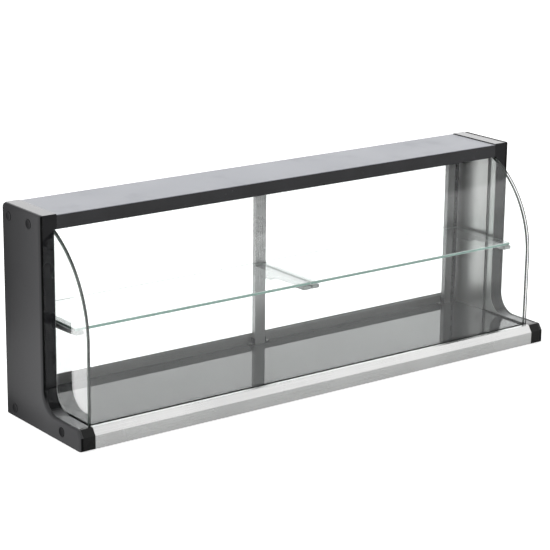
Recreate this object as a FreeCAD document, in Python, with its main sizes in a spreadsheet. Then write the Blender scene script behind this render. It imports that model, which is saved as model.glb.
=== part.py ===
import FreeCAD, Part
import Sketcher
import math
import os

# Countertop bakery display case: black moulded ends, stainless top and nose,
# curved front glass, one glass shelf and two sliding glass doors at the back.
# Frame: +X along the length, -Y towards the customer, +Z up, millimetres.
# Origin: centre of the footprint, on the counter surface.

os.makedirs("parts", exist_ok=True)

V = FreeCAD.Vector
doc = FreeCAD.newDocument("BakeryDisplayCase")

DIMS = {
    "case_width": (1219.0, "overall length, 48 in"),
    "case_depth": (281.0, "overall depth at the nose"),
    "case_height": (437.0, "overall height"),
    "ground_gap": (1.5, "lift of the housing above the counter"),
    "tower_depth": (143.5, "depth of the tall rear body"),
    "cover_thick": (8.0, "outer moulded end cover"),
    "panel_thick": (25.0, "end panel behind the cover"),
    "panel_inset": (0.9, "panel outline inside the cover outline"),
    "panel_wall": (3.0, "end panel wall"),
    "head_thick": (6.5, "end panel head over the side glass"),
    "foot_height": (42.9, "top of the low front foot"),
    "cove_radius": (45.0, "concave radius between tower and foot"),
    "rim_radius": (5.0, "rounded outer rim of the cover"),
    "crown_radius": (10.0, "upper rear corner of the cover"),
    "nose_face": (28.3, "height of the upright nose face"),
    "nose_run": (10.0, "depth of the nose bevel"),
    "nose_depth": (19.0, "nose block depth"),
    "nose_block": (26.6, "nose corner block width"),
    "trim_sheet": (1.2, "nose trim sheet thickness"),
    "miter_low": (0.31, "inner offset ratio at the lower nose fold"),
    "miter_high": (0.53, "inner offset ratio at the upper nose fold"),
    "rail_height": (31.4, "black top rail front face"),
    "rail_depth": (36.0, "black top rail depth"),
    "rail_wall": (3.0, "top rail wall"),
    "pocket_depth": (20.5, "rail pocket that takes the glass edge"),
    "pocket_rise": (9.0, "height of the glass pocket in the panel head"),
    "top_sheet": (1.2, "top panel sheet thickness"),
    "top_step": (2.6, "top panel below the cover crown"),
    "fit_gap": (0.3, "assembly gap between fixed parts"),
    "glass_thick": (6.0, "fixed glass and shelf glass"),
    "glass_radius": (226.0, "outer bend radius of the front glass"),
    "bend_height": (205.0, "height where the bend starts"),
    "bend_sweep": (66.0, "bend angle of the front glass"),
    "glass_front": (120.5, "front glass outer face ahead of centre"),
    "glass_foot": (35.0, "lower edge of the front glass"),
    "side_overlap": (23.0, "side glass overlap on the end panel"),
    "deck_top": (41.5, "deck surface height"),
    "deck_sheet": (3.0, "deck thickness"),
    "liner_sheet": (1.5, "bright liner sheet"),
    "seal_thick": (1.0, "glazing seal wall"),
    "beam_sheet": (1.5, "chassis sheet thickness"),
    "beam_floor": (6.0, "underside of the chassis"),
    "track_depth": (17.8, "door track depth"),
    "track_lip": (1.1, "front lip of the door track"),
    "track_slot": (6.4, "door track slot width"),
    "track_web": (1.5, "web between the slots"),
    "slot_drop": (10.0, "lower slot depth"),
    "slot_rise": (16.0, "upper slot depth"),
    "sill_top": (60.0, "top of the rear sill"),
    "door_thick": (5.0, "door glass"),
    "door_lap": (14.0, "overlap of the closed doors"),
    "door_foot": (51.0, "lower edge of the door glass"),
    "door_head": (414.0, "upper edge of the door glass"),
    "pull_width": (14.0, "door edge pull width"),
    "pull_wall": (0.8, "door edge pull wall"),
    "post_front": (30.0, "post front face ahead of the rear plane"),
    "post_depth": (11.5, "post depth"),
    "post_wall": (1.5, "post wall"),
    "mid_post": (27.0, "centre post width"),
    "end_post": (20.0, "end post width"),
    "end_post_in": (57.0, "outer face to end post"),
    "rack_in": (43.5, "outer face to slotted upright"),
    "rack_width": (13.0, "slotted upright width"),
    "rack_depth": (8.0, "slotted upright depth"),
    "rack_pitch": (25.4, "slot pitch"),
    "shelf_low": (216.5, "underside of the shelf glass"),
    "shelf_front": (64.0, "shelf front edge ahead of centre"),
    "shelf_in": (43.2, "outer face to shelf end"),
    "arm_width": (18.0, "bracket arm width"),
    "arm_split": (2.0, "centre to inner side of a middle arm"),
    "arm_reach": (52.0, "arm tip ahead of centre"),
    "tip_height": (8.0, "bracket end cap height"),
    "pad_thick": (1.0, "clear shelf pad"),
    "foot_size": (28.0, "rubber foot diameter"),
    "plug_size": (20.0, "screw cover diameter"),
}

sheet = doc.addObject("Spreadsheet::Sheet", "Dims")
for row, (alias, (number, note)) in enumerate(DIMS.items(), start=1):
    sheet.set("A%d" % row, alias)
    sheet.set("B%d" % row, str(number))
    sheet.set("C%d" % row, note)
    sheet.setAlias("B%d" % row, alias)
doc.recompute()


class Measure:
    """A length carried both as a number and as its spreadsheet expression."""

    def __init__(self, value, text):
        self.value = value
        self.text = text

    def joined(self, other, sign, value):
        return Measure(value, "(%s %s %s)" % (self.text, sign, other.text))

    def __add__(self, other):
        other = lift(other)
        return self.joined(other, "+", self.value + other.value)

    def __sub__(self, other):
        other = lift(other)
        return self.joined(other, "-", self.value - other.value)

    def __mul__(self, other):
        other = lift(other)
        return self.joined(other, "*", self.value * other.value)

    def __truediv__(self, other):
        other = lift(other)
        return self.joined(other, "/", self.value / other.value)

    def __radd__(self, other):
        return lift(other) + self

    def __rsub__(self, other):
        return lift(other) - self

    def __neg__(self):
        return lift(0) - self


def lift(number):
    if isinstance(number, Measure):
        return number
    return Measure(float(number), "%g" % number if number >= 0 else "(0 - %g)" % -number)


def dim(alias):
    return Measure(DIMS[alias][0], "Dims." + alias)


def polar(radius, degrees):
    """Point on a circle about the bend axis, measured up from straight ahead."""
    angle = math.radians(degrees)
    ahead = Measure(radius.value * math.cos(angle), "(%s * cos(%g deg))" % (radius.text, degrees))
    above = Measure(radius.value * math.sin(angle), "(%s * sin(%g deg))" % (radius.text, degrees))
    return BEND_Y - ahead, BEND_Z + above


# Shared positions.
HALF = dim("case_width") / 2
REAR = dim("case_depth") / 2
NOSE = -REAR
FLOOR = dim("ground_gap")
TOP = dim("case_height")
TOWER = REAR - dim("tower_depth")
INNER = HALF - dim("cover_thick") - dim("panel_thick")
HEAD = INNER - dim("head_thick")
SPAN = HEAD - dim("fit_gap")
RAIL_LOW = TOP - dim("rail_height")
PLATE_TOP = TOP - dim("top_step")
PLATE_LOW = PLATE_TOP - dim("top_sheet")
RAIL_FACE = TOWER + dim("panel_inset") - 0.1
GLASS_Y = -dim("glass_front")
BEND_Y = GLASS_Y + dim("glass_radius")
BEND_Z = dim("bend_height")
DECK = dim("deck_top")
POST_Y = REAR - dim("post_front")
TRACK_Y = REAR - dim("track_depth")
FRONT_SLOT = TRACK_Y + dim("track_lip")
REAR_SLOT = FRONT_SLOT + dim("track_slot") + dim("track_web")
DOOR_OUT = INNER - 7.5
DOOR_WIDTH = DOOR_OUT + dim("door_lap") / 2
FRONT_LANE = FRONT_SLOT + dim("track_slot") / 2
REAR_LANE = REAR_SLOT + dim("track_slot") / 2
ARM_TOP = dim("shelf_low") - dim("pad_thick")

PLUG_SPOTS = (
    (REAR - 25.5, TOP - 24),
    (REAR - 102, TOP - 24),
    (REAR - 33, FLOOR + 17.5),
    (NOSE + 68, FLOOR + 21),
)

NODES = []


def bind(obj, prop, measure):
    obj.setExpression(prop, lift(measure).text)


def place(obj, x=0, y=0, z=0):
    for axis, measure in zip("xyz", (x, y, z)):
        bind(obj, "Placement.Base." + axis, measure)
    return obj


def keep(obj):
    """Mark a finished sub-part as a named node."""
    obj.Label = obj.Name
    NODES.append(obj)
    return obj


def block(name, x_span, y_span, z_span):
    """Rectangular block between pairs of positions."""
    solid = doc.addObject("Part::Box", name)
    for prop, (low, high) in zip(("Length", "Width", "Height"), (x_span, y_span, z_span)):
        bind(solid, prop, lift(high) - low)
    return place(solid, x_span[0], y_span[0], z_span[0])


def rod(name, radius, height, x, y, z, turn=None):
    """Cylinder standing on a point; turn lays it over."""
    solid = doc.addObject("Part::Cylinder", name)
    bind(solid, "Radius", radius)
    bind(solid, "Height", height)
    if turn is not None:
        solid.Placement = FreeCAD.Placement(V(0, 0, 0), turn)
    return place(solid, x, y, z)


def combine(kind, name, shapes):
    solid = doc.addObject("Part::" + kind, name)
    if kind == "Compound":
        solid.Links = shapes
    elif kind == "Cut":
        solid.Base, solid.Tool = shapes
    else:
        solid.Shapes = shapes
    return solid


def start_body(name, x=0, y=0, z=0):
    body = doc.addObject("PartDesign::Body", name)
    body.Label = name
    return place(body, x, y, z)


def sketch(body, role, name, points, offset=0):
    """Closed outline whose every corner is driven from the spreadsheet."""
    outline = body.newObject("Sketcher::SketchObject", name)
    plane = [part for part in body.Origin.OriginFeatures if part.Role == role][0]
    outline.AttachmentSupport = [(plane, "")]
    outline.MapMode = "FlatFace"
    bind(outline, "AttachmentOffset.Base.z", offset)
    corners = [(lift(u), lift(v)) for u, v in points]
    count = len(corners)
    for index, (u, v) in enumerate(corners):
        u_next, v_next = corners[(index + 1) % count]
        ends = V(u.value, v.value, 0), V(u_next.value, v_next.value, 0)
        outline.addGeometry(Part.LineSegment(*ends), False)
    for index in range(count):
        following = (index + 1) % count
        outline.addConstraint(Sketcher.Constraint("Coincident", index, 2, following, 1))
    for index, corner in enumerate(corners):
        for kind, measure in zip(("DistanceX", "DistanceY"), corner):
            rule = Sketcher.Constraint(kind, -1, 1, index, 1, measure.value)
            number = outline.addConstraint(rule)
            outline.setExpression("Constraints[%d]" % number, measure.text)
    return outline


def disc_sketch(body, role, name, centre, radius, offset=0):
    """Circle placed and sized from the spreadsheet."""
    outline = body.newObject("Sketcher::SketchObject", name)
    plane = [part for part in body.Origin.OriginFeatures if part.Role == role][0]
    outline.AttachmentSupport = [(plane, "")]
    outline.MapMode = "FlatFace"
    bind(outline, "AttachmentOffset.Base.z", offset)
    u, v, size = lift(centre[0]), lift(centre[1]), lift(radius)
    outline.addGeometry(Part.Circle(V(u.value, v.value, 0), V(0, 0, 1), size.value), False)
    rules = (("DistanceX", u), ("DistanceY", v))
    for kind, measure in rules:
        number = outline.addConstraint(Sketcher.Constraint(kind, -1, 1, 0, 3, measure.value))
        outline.setExpression("Constraints[%d]" % number, measure.text)
    number = outline.addConstraint(Sketcher.Constraint("Radius", 0, size.value))
    outline.setExpression("Constraints[%d]" % number, size.text)
    return outline


def pad(body, outline, length, name):
    feature = body.newObject("PartDesign::Pad", name)
    feature.Profile = outline
    bind(feature, "Length", length)
    outline.Visibility = False
    body.Tip = feature
    doc.recompute()
    return feature


def pocket(body, outline, depth, name):
    """Cut inwards; the side that removes more material is kept."""
    before = body.Tip.Shape.Volume
    feature = body.newObject("PartDesign::Pocket", name)
    feature.Profile = outline
    bind(feature, "Length", depth)
    outline.Visibility = False
    body.Tip = feature
    doc.recompute()
    if not feature.Shape.isValid() or feature.Shape.Volume > before - 0.5:
        feature.Reversed = True
        doc.recompute()
    if feature.Shape.Volume > before - 0.5:
        raise RuntimeError(name + " removed nothing")
    return feature


def round_edges(body, radius, name, test, kind="Fillet"):
    """Fillet or chamfer the edges of the current solid that pass a test."""
    base = body.Tip
    picked = ["Edge%d" % (n + 1) for n, edge in enumerate(base.Shape.Edges) if test(edge)]
    if not picked:
        raise RuntimeError(name + " found no edges")
    feature = body.newObject("PartDesign::" + kind, name)
    feature.Base = (base, picked)
    bind(feature, "Radius" if kind == "Fillet" else "Size", radius)
    body.Tip = feature
    doc.recompute()
    return feature


def along(edge, axis):
    """True for a straight edge parallel to an axis."""
    if len(edge.Vertexes) < 2 or edge.Curve.TypeId != "Part::GeomLine":
        return False
    heading = edge.Vertexes[1].Point - edge.Vertexes[0].Point
    return abs(abs(getattr(heading.normalize(), axis)) - 1) < 1e-6


def passes(edge, **where):
    """True when the middle of an edge sits at the given coordinates."""
    middle = edge.BoundBox.Center
    return all(abs(getattr(middle, axis) - lift(at).value) < 0.05 for axis, at in where.items())


def side_span(side, near, far):
    """Start and length along X of a layer measured in from an outer face."""
    near, far = lift(near), lift(far)
    start = near - HALF if side == "left" else HALF - far
    return start, far - near


def end_outline(inset):
    """Tall rear body, low foot and bevelled nose, seen from the end."""
    inset = lift(inset)
    return [
        (REAR - inset, FLOOR),
        (NOSE + inset, FLOOR),
        (NOSE + inset, dim("nose_face")),
        (NOSE + dim("nose_run") + inset, dim("foot_height") - inset),
        (TOWER + inset, dim("foot_height") - inset),
        (TOWER + inset, TOP - inset),
        (REAR - inset, TOP - inset),
    ]


def build_end_cover(side):
    """Outer moulding with a rounded rim and four recessed screw seats."""
    start, thick = side_span(side, 0, dim("cover_thick"))
    body = start_body(side + "_end_cover", x=start)
    pad(body, sketch(body, "YZ_Plane", side + "_cover_outline", end_outline(0)), thick,
        side + "_cover_plate")
    round_edges(body, dim("cove_radius"), side + "_cover_cove",
                lambda e: along(e, "x") and passes(e, y=TOWER, z=dim("foot_height")))
    round_edges(body, dim("crown_radius"), side + "_cover_crown",
                lambda e: along(e, "x") and passes(e, y=REAR, z=TOP))
    round_edges(body, dim("rim_radius") / 2, side + "_cover_brow",
                lambda e: along(e, "x") and passes(e, y=TOWER, z=TOP))
    rim_x = 0 if side == "left" else thick.value
    round_edges(body, dim("rim_radius"), side + "_cover_rim",
                lambda e: passes(e, x=rim_x) and e.BoundBox.ZMax > FLOOR.value + 1
                and e.BoundBox.YMin < REAR.value - 0.1)
    seat = 0 if side == "left" else thick
    for number, (y, z) in enumerate(PLUG_SPOTS):
        ring = disc_sketch(body, "YZ_Plane", "%s_seat_%d" % (side, number), (y, z),
                           dim("plug_size") / 2 + 0.3, seat)
        pocket(body, ring, 1.5, "%s_seat_cut_%d" % (side, number))
    keep(body)


def build_screw_covers(side):
    """Four press-in discs over the assembly screws."""
    start, thick = side_span(side, -0.5, 1.5)
    turn = FreeCAD.Rotation(V(0, 1, 0), 90)
    discs = []
    for number, (y, z) in enumerate(PLUG_SPOTS):
        disc = rod("%s_disc_%d" % (side, number), dim("plug_size") / 2, thick, start, y, z, turn)
        dome = doc.addObject("Part::Chamfer", "%s_plug_%d" % (side, number))
        dome.Base = disc
        doc.recompute()
        outer = start.value if side == "left" else (start + thick).value
        edges = [(n + 1, 0.6, 0.6) for n, edge in enumerate(disc.Shape.Edges)
                 if abs(edge.BoundBox.Center.x - outer) < 0.01 and edge.BoundBox.XLength < 0.01]
        dome.Edges = edges
        discs.append(dome)
    keep(combine("Compound", side + "_screw_covers", discs))


def build_end_panel(side):
    """Hollow moulded end body with a head closing over the side glass."""
    near = dim("cover_thick")
    start, thick = side_span(side, near, near + dim("panel_thick"))
    inset = dim("panel_inset")
    body = start_body(side + "_end_panel", x=start)
    outline = end_outline(inset)
    outline[1] = (NOSE + dim("nose_depth") + 0.3, FLOOR)
    outline[2] = (NOSE + dim("nose_depth") + 0.3, dim("foot_height") - inset)
    del outline[3]
    pad(body, sketch(body, "YZ_Plane", side + "_panel_outline", outline), thick,
        side + "_panel_block")
    round_edges(body, dim("cove_radius"), side + "_panel_cove",
                lambda e: along(e, "x") and passes(e, y=TOWER + inset, z=dim("foot_height") - inset))
    wall = dim("panel_wall")
    hollow = [
        (REAR - inset - wall, FLOOR + wall),
        (TOWER + inset + wall, FLOOR + wall),
        (TOWER + inset + wall, TOP - inset - wall),
        (REAR - inset - wall, TOP - inset - wall),
    ]
    mouth = 0 if side == "left" else thick
    pocket(body, sketch(body, "YZ_Plane", side + "_panel_hollow", hollow, mouth), thick - wall,
           side + "_panel_core")
    front = TOWER + inset
    head = [
        (front, RAIL_LOW),
        (front + wall, RAIL_LOW),
        (front + wall, RAIL_LOW + dim("pocket_rise")),
        (front + dim("pocket_depth"), RAIL_LOW + dim("pocket_rise")),
        (front + dim("pocket_depth"), RAIL_LOW),
        (REAR - inset, RAIL_LOW),
        (REAR - inset, TOP - inset),
        (front, TOP - inset),
    ]
    root = thick if side == "left" else -dim("head_thick")
    pad(body, sketch(body, "YZ_Plane", side + "_head_outline", head, root), dim("head_thick"),
        side + "_head")
    round_edges(body, 0.8, side + "_panel_brow",
                lambda e: along(e, "x") and passes(e, y=TOWER + inset, z=TOP - inset), "Chamfer")
    keep(body)


def build_nose_block(side):
    """Black corner block in line with the metal nose trim."""
    near = dim("cover_thick")
    start, width = side_span(side, near, near + dim("nose_block"))
    body = start_body(side + "_nose_block", x=start)
    outline = [
        (NOSE + dim("nose_depth"), FLOOR),
        (NOSE, FLOOR),
        (NOSE, dim("nose_face")),
        (NOSE + dim("nose_run"), dim("foot_height")),
        (NOSE + dim("nose_depth"), dim("foot_height")),
    ]
    pad(body, sketch(body, "YZ_Plane", side + "_nose_outline", outline), width, side + "_nose_pad")
    round_edges(body, 0.7, side + "_nose_break",
                lambda e: along(e, "x") and passes(e, y=NOSE, z=dim("nose_face")))
    keep(body)


def build_end_liner(side):
    """Bright sheet lining the inside of the end, clipped at the top to clear the glass."""
    near = dim("cover_thick") + dim("panel_thick")
    start, sheet_thick = side_span(side, near, near + dim("liner_sheet"))
    body = start_body(side + "_end_liner", x=start)
    edge_y = TOWER + dim("panel_inset") + 1.2
    step_z = DECK + 1.5
    radius = dim("cove_radius") - 2
    face = [
        (edge_y - radius - 1, DECK),
        (TRACK_Y - 1, DECK),
        (TRACK_Y - 1, RAIL_LOW - 0.5),
        (edge_y + 16, RAIL_LOW - 0.5),
        (edge_y, RAIL_LOW - 8.6),
        (edge_y, step_z),
        (edge_y - radius - 1, step_z),
    ]
    pad(body, sketch(body, "YZ_Plane", side + "_liner_outline", face), sheet_thick,
        side + "_liner_sheet")
    round_edges(body, radius, side + "_liner_cove",
                lambda e: along(e, "x") and passes(e, y=edge_y, z=step_z))
    keep(body)


def glass_span(side):
    """Near face and thickness of the end pane, which lies against the liner."""
    near = dim("cover_thick") + dim("panel_thick") + dim("liner_sheet") + 0.2
    return side_span(side, near, near + dim("glass_thick"))


def build_side_glass(side):
    """Flat end pane whose front edge follows the bend of the front glass."""
    gap = dim("seal_thick")
    start, thick = glass_span(side)
    finish = start + thick
    radius = dim("glass_radius") - dim("glass_thick") - gap
    back_y = TOWER + dim("side_overlap") - 0.5
    pane = block(side + "_pane_blank", (start, finish), (BEND_Y - radius, back_y),
                 (DECK + 2, RAIL_LOW - 0.6))
    wheel = rod(side + "_pane_bend", radius, thick, start, BEND_Y, BEND_Z,
                FreeCAD.Rotation(V(0, 1, 0), 90))
    skirt = block(side + "_pane_skirt", (start, finish), (BEND_Y - radius, BEND_Y), (DECK, BEND_Z))
    limit = combine("MultiFuse", side + "_pane_limit", [wheel, skirt])
    keep(combine("MultiCommon", side + "_side_glass", [pane, limit]))


def build_side_seal(side):
    """Black bedding strip under the end pane."""
    start, thick = glass_span(side)
    radius = dim("glass_radius") - dim("glass_thick") - dim("seal_thick")
    keep(block(side + "_side_seal", (start, start + thick),
               (BEND_Y - radius + 1, TOWER + dim("side_overlap") - 0.5), (DECK, DECK + 2)))


def sector(name, radius, degrees, half_length):
    """Cylinder sector about the bend axis, opening upwards from straight ahead."""
    solid = doc.addObject("Part::Cylinder", name)
    bind(solid, "Radius", radius)
    bind(solid, "Height", half_length * 2)
    bind(solid, "Angle", degrees)
    solid.Placement = FreeCAD.Placement(
        V(0, 0, 0), FreeCAD.Rotation(V(0, -1, 0), V(0, 0, 1), V(-1, 0, 0), "XYZ"))
    return place(solid, half_length, BEND_Y, BEND_Z)


def build_front_glass():
    """Upright pane bent back over the display, one constant radius."""
    half = INNER - dim("fit_gap")
    inner = dim("glass_radius") - dim("glass_thick")
    shell = combine("Cut", "front_bend", [
        sector("front_bend_outer", dim("glass_radius"), dim("bend_sweep"), half),
        rod("front_bend_inner", inner, half * 2 + 20, -half - 10, BEND_Y, BEND_Z,
            FreeCAD.Rotation(V(0, 1, 0), 90)),
    ])
    flat = block("front_flat", (-half, half), (GLASS_Y, GLASS_Y + dim("glass_thick")),
                 (dim("glass_foot"), BEND_Z))
    glass = combine("MultiFuse", "front_glass", [shell, flat])
    glass.Refine = True
    keep(glass)


def extrude(name, outline, x_start, length, kept=True):
    """Constant section along X."""
    body = start_body(name, x=x_start)
    pad(body, sketch(body, "YZ_Plane", name + "_outline", outline), length, name + "_run")
    if kept:
        keep(body)
    return body


def build_front_seals():
    """U seal under the front glass and the glazing strip along its top."""
    half = INNER - dim("fit_gap")
    wall = dim("seal_thick")
    back = GLASS_Y + dim("glass_thick")
    low, high = dim("glass_foot") - 2, dim("foot_height") + 0.5
    extrude("front_glass_seal", [
        (GLASS_Y - wall, low),
        (back + wall, low),
        (back + wall, high),
        (back, high),
        (back, dim("glass_foot")),
        (GLASS_Y, dim("glass_foot")),
        (GLASS_Y, high),
        (GLASS_Y - wall, high),
    ], -half, half * 2)
    outer, inner = dim("glass_radius") + 0.2, dim("glass_radius") - dim("glass_thick") - 0.2
    front = RAIL_FACE + dim("rail_wall") + 0.2
    rear = RAIL_FACE + dim("pocket_depth") - 0.2
    tip, shoulder = polar(outer, 66.4), polar(outer, 64)
    extrude("top_glazing_strip", [
        (front, RAIL_LOW + 12),
        (rear, RAIL_LOW + 12),
        (rear, RAIL_LOW + 0.3),
        polar(inner, 66.4),
        tip,
        shoulder,
        (front, shoulder[1]),
    ], -SPAN, SPAN * 2)


def build_top_rail():
    """Black front rail with a pocket for the glass, open behind."""
    wall = dim("rail_wall")
    face, web = RAIL_FACE, RAIL_FACE + dim("pocket_depth")
    back = face + dim("rail_depth")
    ceiling = PLATE_LOW - wall
    body = extrude("top_front_rail", [
        (face, RAIL_LOW),
        (face + wall, RAIL_LOW),
        (face + wall, ceiling),
        (web, ceiling),
        (web, RAIL_LOW),
        (back, RAIL_LOW),
        (back, RAIL_LOW + wall),
        (web + wall, RAIL_LOW + wall),
        (web + wall, ceiling),
        (back, ceiling),
        (back, PLATE_LOW),
        (face, PLATE_LOW),
    ], -SPAN, SPAN * 2, kept=False)
    round_edges(body, 0.6, "top_rail_soft", lambda e: along(e, "x") and passes(e, y=face))
    keep(body)


def build_top_panel():
    """Stainless lid folded down over the back of the door header."""
    thick = dim("top_sheet")
    face = RAIL_FACE
    drop = PLATE_LOW - 14
    body = extrude("top_panel", [
        (face, PLATE_LOW),
        (REAR - thick, PLATE_LOW),
        (REAR - thick, drop),
        (REAR, drop),
        (REAR, PLATE_TOP),
        (face, PLATE_TOP),
    ], -SPAN, SPAN * 2, kept=False)
    round_edges(body, 0.5, "top_panel_soft",
                lambda e: along(e, "x") and passes(e, z=PLATE_TOP))
    keep(body)
    ribs = []
    for number, x in enumerate((-400, -200, 200, 400)):
        web = start_body("top_rib_%d" % number, x=lift(x) - 15)
        y_from, y_to = TOWER + 38, TRACK_Y - 0.5
        hat = [
            (0, PLATE_LOW - 8),
            (30, PLATE_LOW - 8),
            (30, PLATE_LOW),
            (28.8, PLATE_LOW),
            (28.8, PLATE_LOW - 6.8),
            (1.2, PLATE_LOW - 6.8),
            (1.2, PLATE_LOW),
            (0, PLATE_LOW),
        ]
        pad(web, sketch(web, "XZ_Plane", "top_rib_outline_%d" % number, hat, -y_to),
            y_to - y_from, "top_rib_run_%d" % number)
        ribs.append(web)
    keep(combine("Compound", "top_stiffeners", ribs))


def comb_outline(base, lip_z, slot_z):
    """Two-slot door track section; the slots open towards lip_z."""
    step = dim("track_slot")
    return [
        (TRACK_Y, base),
        (REAR - 1.3, base),
        (REAR - 1.3, lip_z),
        (REAR_SLOT + step, lip_z),
        (REAR_SLOT + step, slot_z),
        (REAR_SLOT, slot_z),
        (REAR_SLOT, lip_z),
        (FRONT_SLOT + step, lip_z),
        (FRONT_SLOT + step, slot_z),
        (FRONT_SLOT, slot_z),
        (FRONT_SLOT, lip_z),
        (TRACK_Y, lip_z),
    ]


def build_door_tracks():
    """Rear sill and door header, each with two sliding lanes."""
    half = INNER - 1.8
    sill = extrude("rear_sill", comb_outline(DECK, dim("sill_top"), dim("sill_top") - dim("slot_drop")),
                   -half, half * 2, kept=False)
    round_edges(sill, 0.5, "sill_soft",
                lambda e: along(e, "x") and passes(e, y=TRACK_Y, z=dim("sill_top")))
    keep(sill)
    extrude("door_header", comb_outline(PLATE_LOW, RAIL_LOW, RAIL_LOW + dim("slot_rise")),
            -SPAN, SPAN * 2)


def build_deck():
    """Glossy display deck with a folded front edge."""
    front = GLASS_Y + dim("glass_thick") + dim("seal_thick") + 0.2
    under = DECK - dim("deck_sheet")
    half = INNER - dim("fit_gap")
    extrude("deck_panel", [
        (front, dim("glass_foot") - 2),
        (front + 2, dim("glass_foot") - 2),
        (front + 2, under),
        (REAR - 1.3, under),
        (REAR - 1.3, DECK),
        (front, DECK),
    ], -half, half * 2)


def build_nose_trim():
    """Bright folded nose: upright face, bevel and short top strip."""
    thick = dim("trim_sheet")
    half = HALF - dim("cover_thick") - dim("nose_block") - dim("fit_gap")
    back = GLASS_Y - dim("seal_thick") - 0.1
    crest = dim("foot_height")
    bevel = NOSE + dim("nose_run")
    extrude("nose_trim", [
        (NOSE, FLOOR),
        (NOSE, dim("nose_face")),
        (bevel, crest),
        (back, crest),
        (back, crest - 8),
        (back - thick, crest - 8),
        (back - thick, crest - thick),
        (bevel + thick * dim("miter_high"), crest - thick),
        (NOSE + thick, dim("nose_face") - thick * dim("miter_low")),
        (NOSE + thick, FLOOR + thick),
        (NOSE + 12, FLOOR + thick),
        (NOSE + 12, FLOOR),
    ], -half, half * 2)


def channel_outline(u_low, u_high, v_low, v_high, wall):
    """Channel section open downwards."""
    return [
        (u_low, v_low),
        (u_low, v_high),
        (u_high, v_high),
        (u_high, v_low),
        (u_high - wall, v_low),
        (u_high - wall, v_high - wall),
        (u_low + wall, v_high - wall),
        (u_low + wall, v_low),
    ]


def build_chassis():
    """Two long channels, three cross channels and six rubber feet."""
    wall = dim("beam_sheet")
    low = dim("beam_floor")
    half = INNER - dim("fit_gap")
    under = DECK - dim("deck_sheet")
    front_y, front_back = NOSE + dim("nose_depth") + 0.4, NOSE + 47
    rear_front, rear_y = REAR - 37, REAR - 2
    extrude("front_beam",
            channel_outline(front_y, front_back, low, dim("glass_foot") - 2, wall),
            -half, half * 2)
    extrude("rear_beam", channel_outline(rear_front, rear_y, low, under, wall), -half, half * 2)
    ribs = []
    for number, x in enumerate((-400, 0, 400)):
        rib = start_body("cross_rib_%d" % number, x=x)
        outline = channel_outline(lift(-15), lift(15), low + 2, under, wall)
        pad(rib, sketch(rib, "XZ_Plane", "cross_rib_outline_%d" % number, outline,
                        -(rear_front - 0.2)),
            rear_front - front_back - 0.4, "cross_rib_run_%d" % number)
        ribs.append(rib)
    keep(combine("Compound", "cross_ribs", ribs))
    feet = []
    for x in (-HALF + 70, lift(0), HALF - 70):
        for y in (front_y + 13.8, rear_front + 17.5):
            foot = doc.addObject("Part::Cone", "rubber_foot_%d" % len(feet))
            bind(foot, "Radius1", dim("foot_size") / 2 - 1.5)
            bind(foot, "Radius2", dim("foot_size") / 2)
            bind(foot, "Height", low)
            feet.append(place(foot, x, y, 0))
    keep(combine("Compound", "rubber_feet", feet))


def build_post(name, x_from, width):
    """Brushed box-front channel from the deck to the lid."""
    body = start_body(name, x=x_from)
    wall = dim("post_wall")
    back = POST_Y + dim("post_depth")
    outline = [
        (0, POST_Y),
        (width, POST_Y),
        (width, back),
        (width - wall, back),
        (width - wall, POST_Y + wall),
        (wall, POST_Y + wall),
        (wall, back),
        (0, back),
    ]
    pad(body, sketch(body, "XY_Plane", name + "_outline", outline, DECK), PLATE_LOW - DECK,
        name + "_run")
    round_edges(body, 1.0, name + "_soft",
                lambda e: along(e, "z") and abs(e.BoundBox.YMin - POST_Y.value) < 0.01)
    keep(body)


def build_rack(side):
    """Dark slotted upright beside an end post."""
    start, width = side_span(side, dim("rack_in"), dim("rack_in") + dim("rack_width"))
    name = side + "_slotted_upright"
    body = start_body(name, x=start)
    wall = dim("post_wall")
    back = POST_Y + dim("post_depth")
    face = back - dim("rack_depth")
    outline = [
        (0, face),
        (width, face),
        (width, back),
        (width - wall, back),
        (width - wall, face + wall),
        (wall, face + wall),
        (wall, back),
        (0, back),
    ]
    pad(body, sketch(body, "XY_Plane", name + "_outline", outline, DECK), PLATE_LOW - DECK,
        name + "_run")
    slot = [
        (width / 2 - 2.5, DECK + 9),
        (width / 2 + 2.5, DECK + 9),
        (width / 2 + 2.5, DECK + 21),
        (width / 2 - 2.5, DECK + 21),
    ]
    cut = pocket(body, sketch(body, "XZ_Plane", name + "_slot", slot, -face), wall * 2,
                 name + "_slot_cut")
    row = body.newObject("PartDesign::LinearPattern", name + "_slots")
    row.Originals = [cut]
    upright = [part for part in body.Origin.OriginFeatures if part.Role == "Z_Axis"][0]
    row.Direction = (upright, [""])
    row.Occurrences = 14
    bind(row, "Length", dim("rack_pitch") * 13)
    body.Tip = row
    doc.recompute()
    keep(body)


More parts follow.
